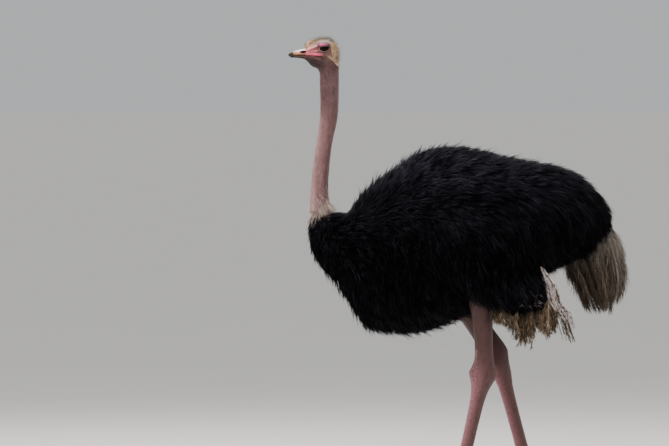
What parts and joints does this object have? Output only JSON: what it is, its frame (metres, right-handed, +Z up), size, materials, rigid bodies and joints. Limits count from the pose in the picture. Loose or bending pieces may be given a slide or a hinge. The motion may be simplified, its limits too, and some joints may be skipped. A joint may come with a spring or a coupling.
{
  "type": "ostrich",
  "caption": "Life-size male ostrich standing still in mid stride: bare neck and legs, black shaggy plumage, pale wing quills and a drooping tail.",
  "frame": {"origin": "on the floor under the middle of the bird's box; the soles stand on z = 0", "axes": "the bird faces -Y, its left side is +X, +Z is up"},
  "size_m": [0.5958, 1.4521, 2.0117],
  "materials": {
    "head_skin": "thin pink skin with tan fuzz",
    "neck_skin": "bare wrinkled pink-grey skin with fine hairs",
    "leg_skin": "bare purple-pink skin",
    "scaly_skin": "skin with broad horny scutes",
    "black_plumage": "loose black plumes, faint sheen",
    "tail_plumage": "drooping brown-grey plumes",
    "pale_plumage": "off-white quills",
    "bill_horn": "smooth horn",
    "claw_horn": "dull dark horn",
    "eye": "wet gloss"
  },
  "bodies": {
    "root": {"head": "head_skin", "bill_upper": "bill_horn", "bill_lower": "bill_horn", "eye_left": "eye", "eye_right": "eye", "neck_upper": "neck_skin", "neck_middle": "neck_skin", "neck_lower": "neck_skin", "trunk": "black_plumage", "tail": "tail_plumage", "wing_left": "black_plumage", "wing_plumes_left": "pale_plumage", "shank_left": "leg_skin", "tarsus_left": "scaly_skin", "toe_main_left": "scaly_skin", "toe_outer_left": "scaly_skin", "claw_left": "claw_horn", "wing_right": "black_plumage", "wing_plumes_right": "pale_plumage", "shank_right": "leg_skin", "tarsus_right": "scaly_skin", "toe_main_right": "scaly_skin", "toe_outer_right": "scaly_skin", "claw_right": "claw_horn"}
  },
  "joints": []
}
